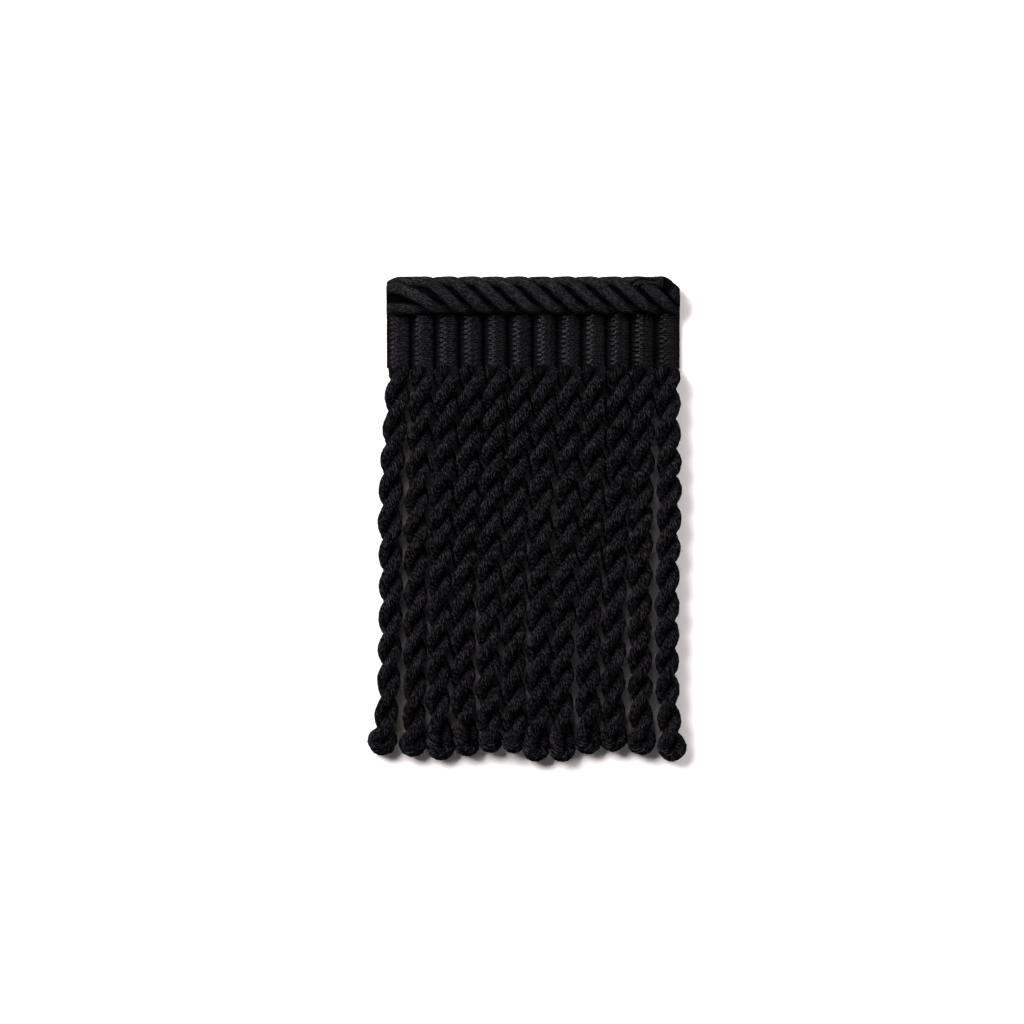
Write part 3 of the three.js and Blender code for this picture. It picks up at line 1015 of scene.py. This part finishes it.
BULLION_FINISH = yarn_finish(
    "bluish_black_bullion_yarn",
    hollow_shade_colour=(0.0003, 0.0003, 0.0003, 1.0),
    dyed=(0.0014, 0.0013, 0.0017, 1.0),
    pale_fibre_and_glint=(0.0175, 0.0167, 0.0241, 1.0),
    warm_pale_fibre_and_glint=(0.0209, 0.0172, 0.0184, 1.0),
    streak_width=0.43 * MM,
    streak_length=0.7 * MM,
    radius=PLY_RADIUS,
)
HEADING_FINISH = yarn_finish(
    "warm_black_binding_yarn",
    hollow_shade_colour=(0.0004, 0.0004, 0.0004, 1.0),
    dyed=(0.0060, 0.0056, 0.0068, 1.0),
    pale_fibre_and_glint=(0.0470, 0.0448, 0.0556, 1.0),
    warm_pale_fibre_and_glint=(0.0482, 0.0406, 0.0414, 1.0),
    warmth=8.0,
    streak_width=0.4 * MM,
    streak_length=0.7 * MM,
    radius=BINDING_WIDTH,
)
CORD_FINISH = yarn_finish(
    "smooth_black_cord_yarn",
    hollow_shade_colour=(0.0006, 0.0006, 0.0007, 1.0),
    dyed=(0.0092, 0.0088, 0.0108, 1.0),
    pale_fibre_and_glint=(0.0205, 0.0198, 0.0252, 1.0),
    warm_pale_fibre_and_glint=(0.0218, 0.0201, 0.0218, 1.0),
    streak_width=0.28 * MM,
    streak_length=1.2 * MM,
    radius=CORD_PLY_RADIUS,
)

round_tree = wound_yarn_tree("round_plies", "MINIMUM_TWIST")
flat_tree = wound_yarn_tree("flat_binding_yarns", "Z_UP")

# Bullions, each one cord from the heading's top down to its loop and back
for rib, row in enumerate(BULLIONS):
    bullion = wind(
        f"bullion_{rib + 1:02d}",
        round_tree,
        [bullion_line(rib, row)],
        {
            "Yarns": BULLION_YARNS,
            "Points per yarn": 4,
            "Radius": PLY_RADIUS,
            "Flatness": 1.0,
            "Groove depth": 0.24,
            "Yarn spread": 0.08,
            "Twist per metre": -2 * math.pi / BULLION_YARN_LEAD,
            "Unevenness": 0.45 * MM,
            "Height share": 1.0,
            "Fibres per square metre": 90000.0,
            "Fibre length": 0.9 * MM,
            "Fibre radius": 0.022 * MM,
            "Seed": 11 + rib * 10,
            "Yarn finish": BULLION_FINISH,
        },
    )
    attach(bullion, "root")
    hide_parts("fringe")

# Heading: binding yarns woven over and under the bullions' ends
heading = wind(
    "heading_binding",
    flat_tree,
    binding_lines(),
    {
        "Yarns": 2,
        "Points per yarn": 3,
        "Radius": BINDING_WIDTH,
        "Flatness": BINDING_FLATNESS,
        "Groove depth": 0.0,
        "Yarn spread": 0.0,
        "Twist per metre": 0.0,
        "Unevenness": 0.2 * MM,
        "Height share": 1.0,
        "Fibres per square metre": 60000.0,
        "Fibre length": 0.6 * MM,
        "Fibre radius": 0.02 * MM,
        "Seed": 301,
        "Yarn finish": HEADING_FINISH,
    },
)
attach(heading, "root")
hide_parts("fringe")

# Edge cord
edge_cord = wind(
    "edge_cord_plies",
    round_tree,
    edge_cord_lines(),
    {
        "Yarns": CORD_YARNS,
        "Points per yarn": 3,
        "Radius": CORD_PLY_RADIUS,
        "Flatness": 1.0,
        "Groove depth": 0.05,
        "Yarn spread": 0.02,
        "Twist per metre": -2 * math.pi / CORD_YARN_LEAD,
        "Unevenness": 0.2 * MM,
        "Height share": CORD_RISE / CORD_HEIGHT,
        "Fibres per square metre": 40000.0,
        "Fibre length": 0.8 * MM,
        "Fibre radius": 0.02 * MM,
        "Seed": 401,
        "Yarn finish": CORD_FINISH,
    },
)
cut_across(edge_cord, -HEADING_LENGTH / 2, -1.0)
cut_across(edge_cord, HEADING_LENGTH / 2, 1.0)
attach(edge_cord, "root")
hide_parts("edge_cord")

# White table under the fringe
FLOOR_HALF = 2.5
FLOOR_LEVEL = -0.05 * MM
floor_mesh = bpy.data.meshes.new("table_top")
floor_mesh.from_pydata(
    [
        (-FLOOR_HALF, -FLOOR_HALF, FLOOR_LEVEL),
        (FLOOR_HALF, -FLOOR_HALF, FLOOR_LEVEL),
        (FLOOR_HALF, FLOOR_HALF, FLOOR_LEVEL),
        (-FLOOR_HALF, FLOOR_HALF, FLOOR_LEVEL),
    ],
    [],
    [(0, 1, 2, 3)],
)
table_top = bpy.data.objects.new("table_top", floor_mesh)
bpy.context.scene.collection.objects.link(table_top)
white = bpy.data.materials.new("white_table")
white.use_nodes = True
white_inputs = white.node_tree.nodes["Principled BSDF"].inputs
white_inputs["Base Color"].default_value = (0.94, 0.88, 0.88, 1.0)
white_inputs["Roughness"].default_value = 0.9
white_inputs["Specular IOR Level"].default_value = 0.1
floor_mesh.materials.append(white)

# Soft light: a pale room, a large soft lamp from the upper left and weaker ones from three other sides
scene = bpy.context.scene
world = bpy.data.worlds.new("pale_room")
world.use_nodes = True
world.node_tree.nodes["Background"].inputs["Color"].default_value = (1.0, 1.0, 1.0, 1.0)
world.node_tree.nodes["Background"].inputs["Strength"].default_value = 0.03
scene.world = world

MIDDLE_OF_FRINGE = (0.0, -0.056, 0.0)
WHITE = (1.0, 1.0, 1.0)
ROSY = (1.0, 0.9, 0.9)


def soft_lamp(name, place, width, power, colour=WHITE):
    """A square lamp of the given width in metres and power in watts, aimed at the fringe."""
    lamp_data = bpy.data.lights.new(name, "AREA")
    lamp_data.shape = "SQUARE"
    lamp_data.size = width
    lamp_data.energy = power
    lamp_data.color = colour
    lamp = bpy.data.objects.new(name, lamp_data)
    lamp.location = place
    to_fringe = Vector(MIDDLE_OF_FRINGE) - Vector(place)
    lamp.rotation_euler = to_fringe.to_track_quat("-Z", "Y").to_euler()
    scene.collection.objects.link(lamp)


soft_lamp("soft_lamp_left", place=(-0.9, 0.65, 0.9), width=0.85, power=52.0)
soft_lamp("soft_lamp_right", place=(0.95, 0.45, 0.75), width=0.6, power=14.0)
soft_lamp("soft_lamp_above", place=(-0.22, 0.8, 1.0), width=0.25, power=1.25, colour=ROSY)
soft_lamp("soft_lamp_front", place=(0.18, -1.2, 0.7), width=0.6, power=1.6)

scene.view_settings.view_transform = "Standard"

camera_data = bpy.data.cameras.new("camera_above")
camera_data.sensor_width = SENSOR_WIDTH
camera_data.lens = SENSOR_WIDTH * (CAMERA_HEIGHT - FACE_LEVEL) / FRAME_WIDTH
camera = bpy.data.objects.new("camera_above", camera_data)
camera.location = (FRAME_CENTRE[0], FRAME_CENTRE[1], CAMERA_HEIGHT)
scene.collection.objects.link(camera)
scene.camera = camera
